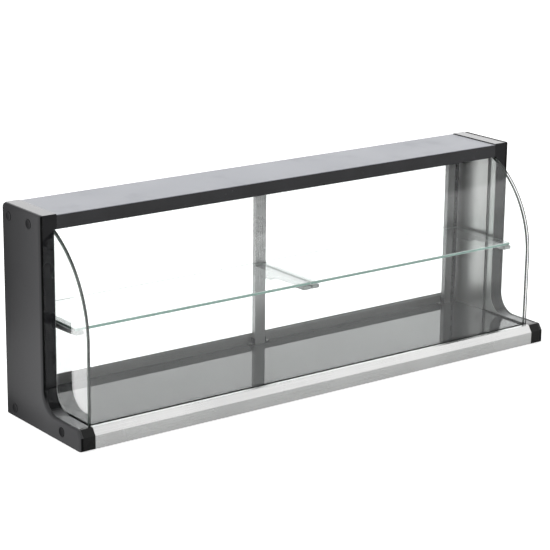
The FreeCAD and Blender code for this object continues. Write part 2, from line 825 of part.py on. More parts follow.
def build_post_feet():
    """Black angle tabs holding the posts to the deck, with their screws."""
    tabs, screws = [], []
    mid = dim("mid_post") / 2
    end_inner = HALF - dim("end_post_in") - dim("end_post")
    spots = ((-mid, -1), (mid, 1), (-end_inner, 1), (end_inner, -1))
    for number, (x, way) in enumerate(spots):
        tab = start_body("post_tab_%d" % number, x=x + 0.1 * way)
        outline = [
            (0, DECK),
            (14 * way, DECK),
            (14 * way, DECK + 2),
            (2 * way, DECK + 2),
            (2 * way, DECK + 14),
            (0, DECK + 14),
        ]
        pad(tab, sketch(tab, "XZ_Plane", "post_tab_outline_%d" % number, outline,
                        -(POST_Y + dim("post_depth"))), dim("post_depth"),
            "post_tab_run_%d" % number)
        tabs.append(tab)
        centre = POST_Y + dim("post_depth") / 2
        head = rod("post_screw_head_%d" % number, 3, 1.8, x + 8.5 * way, centre, DECK + 2)
        slot = block("post_screw_slot_%d" % number, (x + 8.5 * way - 4, x + 8.5 * way + 4),
                     (centre - 0.5, centre + 0.5), (DECK + 3, DECK + 5))
        screws.append(combine("Cut", "post_screw_%d" % number, (head, slot)))
    keep(combine("Compound", "post_feet", tabs))
    keep(combine("Compound", "post_screws", screws))


def arm_outline():
    """Cantilever arm seen from the end, deeper at the root."""
    root = POST_Y - 0.2
    tip = -dim("arm_reach")
    low = ARM_TOP
    return [
        (root, low),
        (tip, low),
        (tip, low - 8),
        (root - 55, low - 12),
        (root - 62, low - 18),
        (root, low - 21),
    ]


def build_end_bracket(side):
    """Arm hooked into the slotted upright at one end."""
    start, width = side_span(side, dim("rack_in"), dim("rack_in") + dim("arm_width"))
    name = side + "_shelf_bracket"
    body = start_body(name, x=start)
    pad(body, sketch(body, "YZ_Plane", name + "_outline", arm_outline()), width, name + "_arm")
    rack_mid = dim("rack_width") / 2
    offset = rack_mid - 2 if side == "left" else width - rack_mid - 2
    root = POST_Y - 0.2
    hook = [
        (root - 1, ARM_TOP - 11),
        (root + 8, ARM_TOP - 11),
        (root + 8, ARM_TOP - 3),
        (root - 1, ARM_TOP - 3),
    ]
    pad(body, sketch(body, "YZ_Plane", name + "_hook_outline", hook, offset), 4, name + "_hook")
    keep(body)


def build_middle_bracket():
    """Twin arms on a common root plate against the centre post."""
    width = dim("arm_width")
    reach = dim("arm_split") + width
    body = start_body("center_shelf_bracket", x=-reach)
    root = POST_Y - 0.2
    plate = [
        (root - 6, ARM_TOP - 21),
        (root, ARM_TOP - 21),
        (root, ARM_TOP),
        (root - 6, ARM_TOP),
    ]
    pad(body, sketch(body, "YZ_Plane", "middle_plate_outline", plate), reach * 2, "middle_plate")
    for number, offset in enumerate((lift(0), width + dim("arm_split") * 2)):
        outline = sketch(body, "YZ_Plane", "middle_arm_outline_%d" % number, arm_outline(), offset)
        pad(body, outline, width, "middle_arm_%d" % number)
    keep(body)


def arm_starts():
    """Lower X of the four bracket arms."""
    width = dim("arm_width")
    return (
        side_span("left", dim("rack_in"), dim("rack_in") + width)[0],
        -dim("arm_split") - width,
        dim("arm_split"),
        side_span("right", dim("rack_in"), dim("rack_in") + width)[0],
    )


def build_bracket_tips():
    """Pale caps closing the front ends of the bracket arms."""
    front, back = -dim("shelf_front") - 4, -dim("arm_reach") - 0.1
    low = ARM_TOP - dim("tip_height")
    tips = []
    for number, start in enumerate(arm_starts()):
        name = "bracket_tip_%d" % number
        body = start_body(name, x=start)
        profile = [
            (back, low),
            (front + 2.5, low),
            (front, low + 2.5),
            (front, ARM_TOP),
            (back, ARM_TOP),
        ]
        pad(body, sketch(body, "YZ_Plane", name + "_profile", profile), dim("arm_width"),
            name + "_block")
        round_edges(body, 1, name + "_corner", lambda e: along(e, "z") and e.BoundBox.YMax < front.value + 0.1)
        tips.append(body)
    keep(combine("Compound", "bracket_tips", tips))


def build_shelf():
    """Two glass panes meeting at the centre, notched round the uprights."""
    outer = HALF - dim("shelf_in")
    middle = dim("mid_post") / 2 + 1.2
    post_side = HALF - dim("end_post_in") - dim("end_post") - 1.2
    front, notch, back = -dim("shelf_front"), POST_Y - 1.5, TRACK_Y - 2.2
    for side, way in (("left", -1), ("right", 1)):
        body = start_body(side + "_shelf_glass")
        plan = [
            (0.8 * way, front),
            (outer * way, front),
            (outer * way, notch),
            (post_side * way, notch),
            (post_side * way, back),
            (middle * way, back),
            (middle * way, notch),
            (0.8 * way, notch),
        ]
        pad(body, sketch(body, "XY_Plane", side + "_shelf_plan", plan, dim("shelf_low")),
            dim("glass_thick"), side + "_shelf_plate")
        round_edges(body, 0.5, side + "_shelf_arris",
                    lambda e: abs(e.BoundBox.Center.y - front.value) < 0.01 and e.BoundBox.XLength > 5,
                    "Chamfer")
        keep(body)
    pads = []
    for start in arm_starts():
        for y in (-35, 70):
            pads.append(rod("shelf_pad_%d" % len(pads), 5, dim("pad_thick") - 0.3,
                            start + dim("arm_width") / 2, y, ARM_TOP))
    keep(combine("Compound", "shelf_pads", pads))


def build_door(side):
    """Frameless sliding pane with an edge pull and two running shoes."""
    way = -1 if side == "left" else 1
    lane = REAR_LANE if side == "left" else FRONT_LANE
    half_thick = dim("door_thick") / 2
    start = -DOOR_OUT if side == "left" else DOOR_OUT - DOOR_WIDTH
    body = start_body(side + "_door_glass", x=start)
    pane = [
        (0, lane - half_thick),
        (DOOR_WIDTH, lane - half_thick),
        (DOOR_WIDTH, lane + half_thick),
        (0, lane + half_thick),
    ]
    pad(body, sketch(body, "XY_Plane", side + "_door_plan", pane, dim("door_foot")),
        dim("door_head") - dim("door_foot"), side + "_door_pane")
    round_edges(body, 0.6, side + "_door_arris",
                lambda e: along(e, "z"), "Chamfer")
    keep(body)
    wall = dim("pull_wall")
    gap = half_thick + 0.1
    skin = gap + wall
    edge = DOOR_OUT + 0.1
    depth = dim("pull_width")
    pull = start_body(side + "_door_pull")
    plan = [
        ((edge + wall) * way, lane - skin),
        ((edge + wall) * way, lane + skin),
        ((edge + wall - depth) * way, lane + skin),
        ((edge + wall - depth) * way, lane + gap),
        (edge * way, lane + gap),
        (edge * way, lane - gap),
        ((edge + wall - depth) * way, lane - gap),
        ((edge + wall - depth) * way, lane - skin),
    ]
    pad(pull, sketch(pull, "XY_Plane", side + "_pull_plan", plan, dim("sill_top") + 2),
        RAIL_LOW - dim("sill_top") - 4, side + "_pull_run")
    keep(pull)
    shoes = []
    foot = dim("door_foot")
    for x in (start + 20, start + DOOR_WIDTH - 50):
        shoe = start_body("%s_shoe_%d" % (side, len(shoes)), x=x)
        shoe_skin = dim("track_slot") / 2 - 0.3
        section = [
            (lane - shoe_skin, foot - 0.7),
            (lane + shoe_skin, foot - 0.7),
            (lane + shoe_skin, foot + 6.5),
            (lane + half_thick, foot + 6.5),
            (lane + half_thick, foot),
            (lane - half_thick, foot),
            (lane - half_thick, foot + 6.5),
            (lane - shoe_skin, foot + 6.5),
        ]
        pad(shoe, sketch(shoe, "YZ_Plane", "%s_shoe_section_%d" % (side, len(shoes)), section), 30,
            "%s_shoe_run_%d" % (side, len(shoes)))
        shoes.append(shoe)
    keep(combine("Compound", side + "_door_shoes", shoes))


def build_door_buffers():
    """Rubber buffers where the closed doors meet the ends."""
    buffers = []
    turn = FreeCAD.Rotation(V(0, 1, 0), 90)
    for side, lane in (("left", REAR_LANE), ("right", FRONT_LANE)):
        near = dim("cover_thick") + dim("panel_thick")
        start, length = side_span(side, near, near + 5)
        for z in (150, 330):
            buffers.append(rod("door_buffer_%d" % len(buffers), 4, length, start, lane, z, turn))
    keep(combine("Compound", "door_buffers", buffers))


def build_case():
    for side in ("left", "right"):
        build_end_cover(side)
        build_screw_covers(side)
        build_end_panel(side)
        build_nose_block(side)
        build_end_liner(side)
        build_side_glass(side)
        build_side_seal(side)
    build_front_glass()
    build_front_seals()
    build_top_rail()
    build_top_panel()
    build_door_tracks()
    build_deck()
    build_nose_trim()
    build_chassis()


def build_interior():
    end_x = side_span("left", dim("end_post_in"), dim("end_post_in") + dim("end_post"))[0]
    far_x = side_span("right", dim("end_post_in"), dim("end_post_in") + dim("end_post"))[0]
    build_post("left_post", end_x, dim("end_post"))
    build_post("center_post", -dim("mid_post") / 2, dim("mid_post"))
    build_post("right_post", far_x, dim("end_post"))
    for side in ("left", "right"):
        build_rack(side)
        build_end_bracket(side)
    build_post_feet()
    build_middle_bracket()
    build_bracket_tips()
    build_shelf()
    for side in ("left", "right"):
        build_door(side)
    build_door_buffers()


def export_nodes():
    """Write every node after checking the whole document."""
    doc.recompute()
    for obj in doc.Objects:
        if "Invalid" in obj.State or "Error" in obj.State:
            raise RuntimeError(obj.Name + " did not rebuild")
    for node in NODES:
        shape = node.Shape
        if shape.isNull() or not shape.isValid() or not shape.Solids:
            raise RuntimeError(node.Label + " is not a valid solid")
        shape.exportStep(os.path.join("parts", node.Label + ".step"))


build_case()
build_interior()
export_nodes()
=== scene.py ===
import bmesh
import bpy
import math
from mathutils import Matrix, Vector


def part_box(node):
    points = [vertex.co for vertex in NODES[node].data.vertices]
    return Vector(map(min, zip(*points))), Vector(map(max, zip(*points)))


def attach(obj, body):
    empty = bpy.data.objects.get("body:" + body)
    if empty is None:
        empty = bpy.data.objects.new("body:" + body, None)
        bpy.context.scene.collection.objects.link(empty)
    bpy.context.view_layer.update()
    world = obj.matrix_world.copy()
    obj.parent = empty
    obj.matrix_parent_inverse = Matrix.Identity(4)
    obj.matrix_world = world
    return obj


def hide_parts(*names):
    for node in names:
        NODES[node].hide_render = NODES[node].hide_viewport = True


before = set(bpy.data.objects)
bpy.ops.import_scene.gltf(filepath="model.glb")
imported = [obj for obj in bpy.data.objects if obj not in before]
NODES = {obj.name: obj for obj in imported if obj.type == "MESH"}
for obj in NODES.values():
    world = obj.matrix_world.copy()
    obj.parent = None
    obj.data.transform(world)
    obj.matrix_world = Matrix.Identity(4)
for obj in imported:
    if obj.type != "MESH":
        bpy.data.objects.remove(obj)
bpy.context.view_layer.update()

# ---------------------------------------------------------------- camera
# The photograph's viewing angle: place in metres, focal length in millimetres.
CAMERA_PLACE = Vector((-2.4505, -3.1881, 1.3690))
AZIMUTH, ELEVATION, ROLL = (math.radians(v) for v in (-37.05366, 15.92536, 0.7103))
LENS, SENSOR = 129.86, 36.0
CLIP_NEAR, CLIP_FAR = 0.1, 200.0


def make_camera():
    """Camera that looks along AZIMUTH and ELEVATION, rolled by ROLL."""
    back = Vector((math.sin(AZIMUTH) * math.cos(ELEVATION),
                   -math.cos(AZIMUTH) * math.cos(ELEVATION), math.sin(ELEVATION)))
    level = (-back).cross(Vector((0, 0, 1))).normalized()
    upright = level.cross(-back)
    right = math.cos(ROLL) * level + math.sin(ROLL) * upright
    up = math.cos(ROLL) * upright - math.sin(ROLL) * level
    data = bpy.data.cameras.new("camera")
    data.sensor_width = SENSOR
    data.lens = LENS
    data.clip_start, data.clip_end = CLIP_NEAR, CLIP_FAR
    camera = bpy.data.objects.new("camera", data)
    turn = Matrix((right, up, back)).transposed().to_4x4()
    camera.matrix_world = Matrix.Translation(CAMERA_PLACE) @ turn
    bpy.context.scene.collection.objects.link(camera)
    bpy.context.scene.camera = camera


# ---------------------------------------------------------------- node graphs
class Graph:
    """Small helper that adds nodes and links them by value or socket."""

    def __init__(self, tree):
        self.tree = tree
        tree.nodes.clear()

    def add(self, kind, inputs=(), **settings):
        node = self.tree.nodes.new("ShaderNode" + kind)
        for key, value in settings.items():
            setattr(node, key, value)
        for key, value in dict(inputs).items():
            self.feed(node.inputs[key], value)
        return node

    def feed(self, socket, value):
        if isinstance(value, bpy.types.NodeSocket):
            self.tree.links.new(value, socket)
        else:
            socket.default_value = value

    def math(self, kind, *values, clamp=False):
        node = self.add("Math", operation=kind, use_clamp=clamp)
        for socket, value in zip(node.inputs, values):
            self.feed(socket, value)
        return node.outputs[0]

    def spread(self, value, low, high, to_low=0.0, to_high=1.0):
        return self.add("MapRange", {"Value": value, "From Min": low, "From Max": high,
                                     "To Min": to_low, "To Max": to_high}).outputs[0]

    def axis(self, name):
        """Object-space coordinate along X, Y or Z, in metres."""
        coords = self.add("TexCoord").outputs["Object"]
        return self.add("SeparateXYZ", {0: coords}).outputs[name]

    def facing(self, name):
        """Component of the surface normal along X, Y or Z."""
        normal = self.add("NewGeometry").outputs["True Normal"]
        return self.add("SeparateXYZ", {0: normal}).outputs[name]

    def place(self, scale):
        coords = self.add("TexCoord").outputs["Object"]
        return self.add("Mapping", {"Vector": coords, "Scale": scale}).outputs[0]

    def noise(self, scale, detail=2.0, rough=0.5):
        """Noise in object space; scale is features per metre along each axis."""
        return self.add("TexNoise", {"Vector": self.place(scale), "Scale": 1.0, "Detail": detail,
                                     "Roughness": rough}).outputs["Fac"]

    def blend(self, factor, low, high):
        node = self.add("Mix", data_type="RGBA")
        self.feed(node.inputs["Factor"], factor)
        self.feed(node.inputs[6], low)
        self.feed(node.inputs[7], high)
        return node.outputs[2]

    def bump(self, height, distance, strength=0.5):
        return self.add("Bump", {"Height": height, "Strength": strength,
                                 "Distance": distance}).outputs[0]


def rgb(red, green, blue):
    return (red, green, blue, 1.0)


def new_material(name):
    material = bpy.data.materials.new(name)
    material.use_nodes = True
    return material, Graph(material.node_tree)


EDGE_MASK_RADIUS = 0.0012


def edge_wear_and_highlight(g):
    """Mask that rises on sharp outer edges, for scuffed edges and for painted edge highlights."""
    soft = g.add("Bevel", {"Radius": EDGE_MASK_RADIUS}, samples=6).outputs[0]
    hard = g.add("NewGeometry").outputs["Normal"]
    facing = g.add("VectorMath", {0: soft, 1: hard}, operation="DOT_PRODUCT").outputs["Value"]
    return g.spread(g.math("SUBTRACT", 1.0, facing), 0.02, 0.25)


def finish_surface(g, shader, volume=None):
    """Join a shader, and a volume if there is one, to the material's output."""
    out = g.add("OutputMaterial", {"Surface": shader})
    if volume is not None:
        g.feed(out.inputs["Volume"], volume)


# Noise scales of the shared marks, in features per metre along X, Y and Z.
FLOW_MARKS, SCUFFS, RUBS = (9, 9, 9), (60, 14, 220), (45, 45, 45)
BROAD_TONE, HANDLING, WIPE_MARKS = (5, 5, 5), (14, 14, 14), (3, 7, 16)
EDGE_STREAKS, GRINDING = (35, 35, 35), (1500, 1500, 1500)

PLASTIC_IOR = 1.5
RUBBED_GREY = rgb(0.09, 0.09, 0.095)


def plastic(name, dark, light, rough, grain, depth, gloss=0.5, wear_and_highlight=RUBBED_GREY, rubbed_and_highlight=0.5,
            painted_light_zones=(), painted_reflection=None):
    """Moulded plastic: fine texture, faint flow marks, an edge tone for scuffing, which where pale
    is a painted edge highlight.

    rough is the roughness range, grain the texture's features per metre, depth its height in
    metres. Each zone is (axis, from, to, colour, roughness) for surfaces that look along that
    axis, painted light and shade by facing; fade is (axis, from, to, colour), a painted
    reflection: a slow change of colour along the part.
    """
    material, g = new_material(name)
    cloud = g.noise(FLOW_MARKS, 3)
    fine = g.noise((grain, grain, grain), 2)
    scuff = g.spread(g.noise(SCUFFS, 4), 0.62, 0.75)
    colour = g.blend(g.spread(cloud, 0.35, 0.65), dark, light)
    worn_and_lit = g.math("MULTIPLY", edge_wear_and_highlight(g), g.spread(g.noise(RUBS, 3), 0.4, 0.7))
    roughness = g.spread(g.math("ADD", cloud, g.math("MULTIPLY", scuff, 0.35)), 0.3, 1.0,
                         rough[0], rough[1])
    # Painted reflection: the colour changes slowly along one axis.
    if painted_reflection:
        colour = g.blend(g.spread(g.axis(painted_reflection[0]), painted_reflection[1], painted_reflection[2]), colour, painted_reflection[3])
    # Painted light and shade: faces that look along an axis take another colour.
    for axis, start, full, painted_light_colour, zone_rough in painted_light_zones:
        share = g.spread(g.facing(axis), start, full)
        colour = g.blend(share, colour, painted_light_colour)
        roughness = g.math("ADD", g.math("MULTIPLY", roughness, g.math("SUBTRACT", 1.0, share)),
                           g.math("MULTIPLY", share, zone_rough))
    # Edge tone: scuffing, and a painted edge highlight where the tone is pale.
    colour = g.blend(g.math("MULTIPLY", worn_and_lit, rubbed_and_highlight), colour, wear_and_highlight)
    shader = g.add("BsdfPrincipled", {"Base Color": colour, "Roughness": roughness,
                                      "IOR": PLASTIC_IOR, "Specular IOR Level": gloss,
                                      "Normal": g.bump(fine, depth)})
    finish_surface(g, shader.outputs[0])
    return material


def brushed(name, dark, light, rough, grain, depth=0.00002, streak=0.6, painted_reflection=None):
    """Brushed metal; grain is the noise frequency per axis, low along the strokes.

    depth is the height of the strokes in metres, streak their share of the tone; fade is
    (axis, from, to, colour), a painted reflection: a slow change of colour along the part.
    """
    material, g = new_material(name)
    strokes = g.noise(grain, 4, rough=0.7)
    broad = g.noise(BROAD_TONE, 3)
    tone = g.math("ADD", g.math("MULTIPLY", strokes, streak),
                  g.math("MULTIPLY", broad, 1.0 - streak))
    handled = g.spread(g.noise(HANDLING, 4, rough=0.6), 0.55, 0.75, 0.0, 0.05)
    colour = g.blend(g.spread(tone, 0.35, 0.65), dark, light)
    # Painted reflection: the colour changes slowly along one axis.
    if painted_reflection:
        colour = g.blend(g.spread(g.axis(painted_reflection[0]), painted_reflection[1], painted_reflection[2]), colour, painted_reflection[3])
    roughness = g.math("ADD", g.spread(tone, 0.3, 0.7, rough[0], rough[1]), handled)
    shader = g.add("BsdfPrincipled", {"Base Color": colour, "Roughness": roughness,
                                      "Metallic": 1.0,
                                      "Normal": g.bump(strokes, depth, 0.35)})
    finish_surface(g, shader.outputs[0])
    return material


WIPED_TINT, SHADOW_TINT = rgb(0.985, 0.995, 0.99), rgb(0.96, 0.98, 0.97)
PANE_GREEN, SHELF_GREEN = rgb(0.0, 0.8, 0.62), rgb(0.0, 0.85, 0.75)
WIPE_HAZE = 0.02


def glass(name, soak, density, ior):
    """Clear float glass: faint wipe marks, green in the thickness, lamps pass through."""
    material, g = new_material(name)
    wipe = g.noise(WIPE_MARKS, 4, rough=0.6)
    roughness = g.spread(wipe, 0.5, 0.8, 0.0, WIPE_HAZE)
    colour = g.blend(g.spread(wipe, 0.4, 0.7), WIPED_TINT, rgb(1, 1, 1))
    shader = g.add("BsdfPrincipled", {"Base Color": colour, "Roughness": roughness, "IOR": ior,
                                      "Transmission Weight": 1.0})
    clear = g.add("BsdfTransparent", {"Color": SHADOW_TINT})
    lamp = g.add("LightPath").outputs["Is Shadow Ray"]
    mix = g.add("MixShader", {0: lamp})
    g.feed(mix.inputs[1], shader.outputs[0])
    g.feed(mix.inputs[2], clear.outputs[0])
    inside = g.add("VolumeAbsorption", {"Color": soak, "Density": density})
    finish_surface(g, mix.outputs[0], inside.outputs[0])
    return material


EDGE_LOW, EDGE_HIGH = 0.14, 0.30
GRINDING_DEPTH = 0.00003


def painted_glass_edge(name, low, high, rough=(0.2, 0.4)):
    """Opaque glass edge with grinding marks: its colour is painted light in place of light through
    the glass, going from low to high up the case.
    """
    material, g = new_material(name)
    painted_light_rise = g.spread(g.axis("Z"), EDGE_LOW, EDGE_HIGH)
    streaks = g.noise(EDGE_STREAKS, 4, rough=0.65)
    marks = g.noise(GRINDING, 2)
    tone = g.math("ADD", painted_light_rise, g.spread(streaks, 0.3, 0.7, -0.18, 0.18), clamp=True)
    roughness = g.spread(marks, 0.35, 0.65, rough[0], rough[1])
    shader = g.add("BsdfPrincipled", {"Base Color": g.blend(tone, low, high),
                                      "Roughness": roughness,
                                      "Normal": g.bump(marks, GRINDING_DEPTH)})
    finish_surface(g, shader.outputs[0])
    return material


# ---------------------------------------------------------------- finishes
# The fades stand in for reflections that this studio does not give.
MATERIALS = {
    # cover_black: the darker front faces are painted shade, the lighter top faces painted light,
    # and the colour lightening towards the front a painted reflection.
    "cover_black": plastic("cover_black", rgb(0.013, 0.013, 0.014), rgb(0.020, 0.020, 0.021),
                           (0.34, 0.46), 1400, 0.00004, gloss=0.03,
                           painted_reflection=("Y", 0.14, -0.02, rgb(0.055, 0.055, 0.057)),
                           painted_light_zones=(("Y", -0.8, -0.97, rgb(0.003, 0.003, 0.003), 0.12),
                                  ("Z", 0.8, 0.97, rgb(0.05, 0.05, 0.053), 0.16))),
    # panel_black: the lighter top faces are painted light, and its pale edge tone a painted edge
    # highlight.
    "panel_black": plastic("panel_black", rgb(0.004, 0.004, 0.005), rgb(0.007, 0.007, 0.008),
                           (0.015, 0.03), 500, 0.000002, gloss=0.2, wear_and_highlight=rgb(0.5, 0.5, 0.5),
                           rubbed_and_highlight=0.8, painted_light_zones=(("Z", 0.8, 0.97, rgb(0.15, 0.15, 0.155), 0.16),)),
    "plug_black": plastic("plug_black", rgb(0.006, 0.006, 0.007), rgb(0.01, 0.01, 0.011),
                          (0.36, 0.46), 1600, 0.00002, gloss=0.05, wear_and_highlight=rgb(0.02, 0.02, 0.02)),
    "rail_black": plastic("rail_black", rgb(0.010, 0.010, 0.011), rgb(0.016, 0.016, 0.018),
                          (0.22, 0.3), 1500, 0.00003, gloss=0.35),
    "seal_black": plastic("seal_black", rgb(0.004, 0.004, 0.004), rgb(0.008, 0.008, 0.008),
                          (0.45, 0.6), 2200, 0.00005, gloss=0.1, wear_and_highlight=rgb(0.02, 0.02, 0.02)),
    "foot_rubber": plastic("foot_rubber", rgb(0.015, 0.015, 0.015), rgb(0.03, 0.03, 0.03),
                           (0.6, 0.8), 1200, 0.0001),
    "rack_dark": plastic("rack_dark", rgb(0.008, 0.008, 0.009), rgb(0.014, 0.014, 0.015),
                         (0.3, 0.45), 900, 0.00004, gloss=0.2, wear_and_highlight=rgb(0.04, 0.04, 0.04)),
    "deck_black": plastic("deck_black", rgb(0.010, 0.010, 0.011), rgb(0.014, 0.014, 0.015),
                          (0.02, 0.05), 60, 0.000006, gloss=0.30),
    "tip_clear": plastic("tip_clear", rgb(0.23, 0.245, 0.24), rgb(0.33, 0.35, 0.34),
                         (0.25, 0.4), 900, 0.00005, wear_and_highlight=rgb(0.7, 0.7, 0.7)),
    "stainless": brushed("stainless", rgb(0.30, 0.30, 0.31), rgb(0.40, 0.40, 0.41),
                         (0.30, 0.42), (4, 900, 900)),
    "liner_steel": brushed("liner_steel", rgb(0.335, 0.335, 0.33), rgb(0.375, 0.375, 0.37),
                           (0.31, 0.34), (900, 900, 6), depth=0.000005, streak=0.3,
                           painted_reflection=("Y", 0.03, 0.085, rgb(0.60, 0.60, 0.595))),
    "bracket_steel": brushed("bracket_steel", rgb(0.18, 0.18, 0.18), rgb(0.24, 0.24, 0.24),
                             (0.28, 0.4), (700, 8, 700)),
    "chassis_grey": brushed("chassis_grey", rgb(0.22, 0.22, 0.22), rgb(0.34, 0.34, 0.34),
                            (0.4, 0.55), (60, 60, 60), 0.00005, 0.3),
    "pull_alloy": brushed("pull_alloy", rgb(0.5, 0.5, 0.51), rgb(0.62, 0.62, 0.63),
                          (0.25, 0.35), (900, 900, 6)),
    "screw_zinc": brushed("screw_zinc", rgb(0.45, 0.45, 0.44), rgb(0.6, 0.6, 0.58),
                          (0.2, 0.35), (500, 500, 500)),
    "clear_glass": glass("clear_glass", PANE_GREEN, 1.5, ior=1.45),
    "shelf_glass": glass("shelf_glass", SHELF_GREEN, 3.0, ior=1.5),
    "door_glass": glass("door_glass", PANE_GREEN, 1.5, ior=1.4),
}

# Finishes for single nodes whose sheet is brushed differently from the rest; their tones, set part
# by part away from the stainless, are painted light and shade.
NODE_FINISHES = {
    "top_panel": brushed("lid_steel", rgb(0.26, 0.268, 0.295), rgb(0.315, 0.325, 0.355),
                         (0.36, 0.48), (3, 1100, 1100), streak=0.5),
    "nose_trim": brushed("nose_steel", rgb(0.53, 0.53, 0.53), rgb(0.645, 0.645, 0.64),
                         (0.24, 0.30), (3, 1000, 1000), depth=0.000006, streak=0.45),
    "rear_sill": brushed("sill_steel", rgb(0.24, 0.24, 0.24), rgb(0.32, 0.32, 0.32),
                         (0.3, 0.4), (3, 900, 900)),
    "center_post": brushed("post_steel", rgb(0.24, 0.24, 0.24), rgb(0.36, 0.36, 0.36),
                           (0.24, 0.34), (900, 900, 4), depth=0.000006, streak=0.4),
}
# Nodes that come in a left and a right one, named by what follows the side.
PAIR_FINISHES = {
    # The end posts' darker steel is painted shade.
    "post": brushed("end_post_shaded_steel", rgb(0.17, 0.17, 0.17), rgb(0.23, 0.23, 0.23),
                    (0.28, 0.38), (900, 900, 4), depth=0.000006, streak=0.4),
    # The end arms are a copy of the bracket steel darkened as painted shade, lightening towards
    # the front as a painted reflection.
    "shelf_bracket": brushed("end_arm_shaded_steel", rgb(0.03, 0.03, 0.03), rgb(0.05, 0.05, 0.05),
                             (0.3, 0.42), (700, 8, 700),
                             painted_reflection=("Y", 0.02, -0.055, rgb(0.38, 0.38, 0.38))),
    # The nose blocks' pale edge tone is a painted edge highlight.
    "nose_block": plastic("nose_black", rgb(0.004, 0.004, 0.004), rgb(0.007, 0.007, 0.007),
                          (0.1, 0.18), 1200, 0.00001, gloss=0.16, wear_and_highlight=rgb(0.3, 0.3, 0.3),
                          rubbed_and_highlight=0.8),
}
for pair, finish in PAIR_FINISHES.items():
    for side in ("left", "right"):
        NODE_FINISHES[side + "_" + pair] = finish

# The end panes mirror the room unlike each other in the photograph, so their indices differ.
SIDE_PANES = {
    "left": glass("left_pane", PANE_GREEN, 1.5, ior=1.7),
    "right": glass("right_pane", PANE_GREEN, 1.5, ior=1.15),
}

# Glass edges are opaque; their tones by facing and by height are lit and shaded copies of one
# edge: painted light and painted shade.
EDGE_SHADED = painted_glass_edge("edge_painted_shade", rgb(0.022, 0.036, 0.029), rgb(0.11, 0.13, 0.12))
EDGE_TEAL_LIT = painted_glass_edge("edge_painted_teal_light", rgb(0.155, 0.295, 0.25), rgb(0.235, 0.395, 0.34))
ARRIS_SHADED = painted_glass_edge("edge_arris_painted_shade", rgb(0.008, 0.012, 0.010), rgb(0.02, 0.025, 0.022), (0.3, 0.5))
SEAM_LIT = painted_glass_edge("edge_seam_painted_light", rgb(0.48, 0.57, 0.54), rgb(0.58, 0.67, 0.64), (0.3, 0.5))
EDGE_PALE_LIT = painted_glass_edge("edge_painted_pale_light", rgb(0.5, 0.53, 0.52), rgb(0.6, 0.63, 0.62))

# Material indices of a pane: its flat faces, then the painted light and shade tones of its edges
# and bevels.
FACE, TEAL, BEVELLED, DARK, PALE = range(5)

SHARP = math.radians(28)
GLASS_SHARP = math.radians(12)
FLAT_ANGLE = math.radians(0.5)
MERGE_GAP = 0.00001
# A normal this close to an axis (as a cosine) belongs to a face that looks along it.
ALONG_AXIS = 0.7


# ---------------------------------------------------------------- pieces
def crease(bm, limit):
    """Smooth shading with hard lines where faces meet at an angle."""
    bm.normal_update()
    for face in bm.faces:
        face.smooth = True
    for edge in bm.edges:
        edge.smooth = edge.calc_face_angle(0) < limit


def add_piece(name, bm, body, materials, replaced=(), limit=SHARP):
    """Object from a finished bmesh, riding on its body."""
    crease(bm, limit)
    mesh = bpy.data.meshes.new(name)
    bm.to_mesh(mesh)
    bm.free()
    for material in materials:
        mesh.materials.append(material)
    piece = bpy.data.objects.new(name, mesh)
    bpy.context.scene.collection.objects.link(piece)
    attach(piece, body)
    if replaced:
        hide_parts(*replaced)


def cad_copy(name):
    """Clean bmesh of a CAD node, flat faces merged."""
    source = NODES[name].data
    bm = bmesh.new()
    verts = [bm.verts.new(vertex.co) for vertex in source.vertices]
    for polygon in source.polygons:
        bm.faces.new([verts[n] for n in polygon.vertices])
    bmesh.ops.remove_doubles(bm, verts=bm.verts, dist=MERGE_GAP)
    bmesh.ops.dissolve_limit(bm, angle_limit=FLAT_ANGLE, verts=bm.verts, edges=bm.edges)
    bm.normal_update()
    return bm


PANE_ARRIS = 0.0006


def glass_piece(node, slot, body, edge_of, pane=None, seam=None):
    """Pane with seamed arrises; edge_of picks an edge's painted light tone from the outward
    normal.
    """
    bm = cad_copy(node)
    lo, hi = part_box(node)
    thin = min(range(3), key=lambda n: hi[n] - lo[n])
    for face in bm.faces:
        flat = abs(face.normal[thin]) > ALONG_AXIS
        face.material_index = FACE if flat else edge_of(face.normal)
    corners = [e for e in bm.edges if e.calc_face_angle(0) > SHARP]
    bmesh.ops.bevel(bm, geom=corners, offset=PANE_ARRIS, offset_type="OFFSET", segments=1,
                    profile=0.5, affect="EDGES", material=BEVELLED)
    materials = [pane or MATERIALS[slot], EDGE_TEAL_LIT, seam or ARRIS_SHADED, EDGE_SHADED, EDGE_PALE_LIT]
    add_piece(node + "_pane", bm, body, materials, (node,), GLASS_SHARP)


# The front pane: its bend's outer radius, the height of its centre and the angle it turns.
BEND_RADIUS, BEND_RISE, BEND_SWEEP, BEND_STEPS = 0.226, 0.205, math.radians(66), 48
FRONT_THICK, FRONT_ARRIS = 0.006, 0.0007
UPRIGHT_ROWS = (0.09, 0.15)


